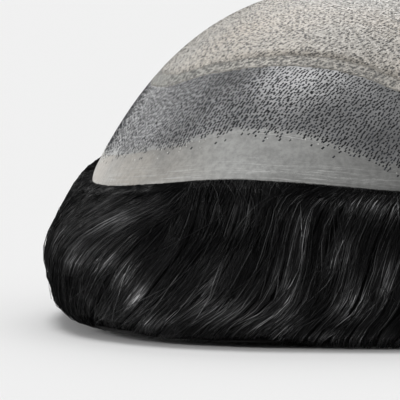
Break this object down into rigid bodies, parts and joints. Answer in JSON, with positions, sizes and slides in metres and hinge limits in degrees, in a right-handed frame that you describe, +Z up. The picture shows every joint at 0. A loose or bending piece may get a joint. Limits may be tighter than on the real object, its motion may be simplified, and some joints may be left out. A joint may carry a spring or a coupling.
{
  "type": "toupee hairpiece",
  "caption": "Short men's toupee lying on its hair, its domed net and skin base turned scalp side out over a swept curtain of dark hair.",
  "frame": {"origin": "middle of the footprint, on the surface that the hair rests on", "axes": "+Z up out of the dome, -Y towards the front hairline, +X towards the wearer's side seen on the right"},
  "size_m": [0.1822, 0.2222, 0.0875],
  "materials": {
    "net": "fine matt net with rows of small dark knots",
    "hem": "doubled net edge, matt",
    "knotted_skin": "thin translucent skin, satin, densely knotted",
    "clear_skin": "thin translucent skin, satin gloss over dark hair",
    "hair": "smooth near-black hair with a soft gloss"
  },
  "bodies": {
    "root": {"net_crown": "net", "net_hem": "hem", "skin_band": "knotted_skin", "clear_border": "clear_skin", "crown_hair": "hair", "front_hair": "hair", "right_side_hair": "hair", "back_hair": "hair", "left_side_hair": "hair"}
  },
  "joints": []
}
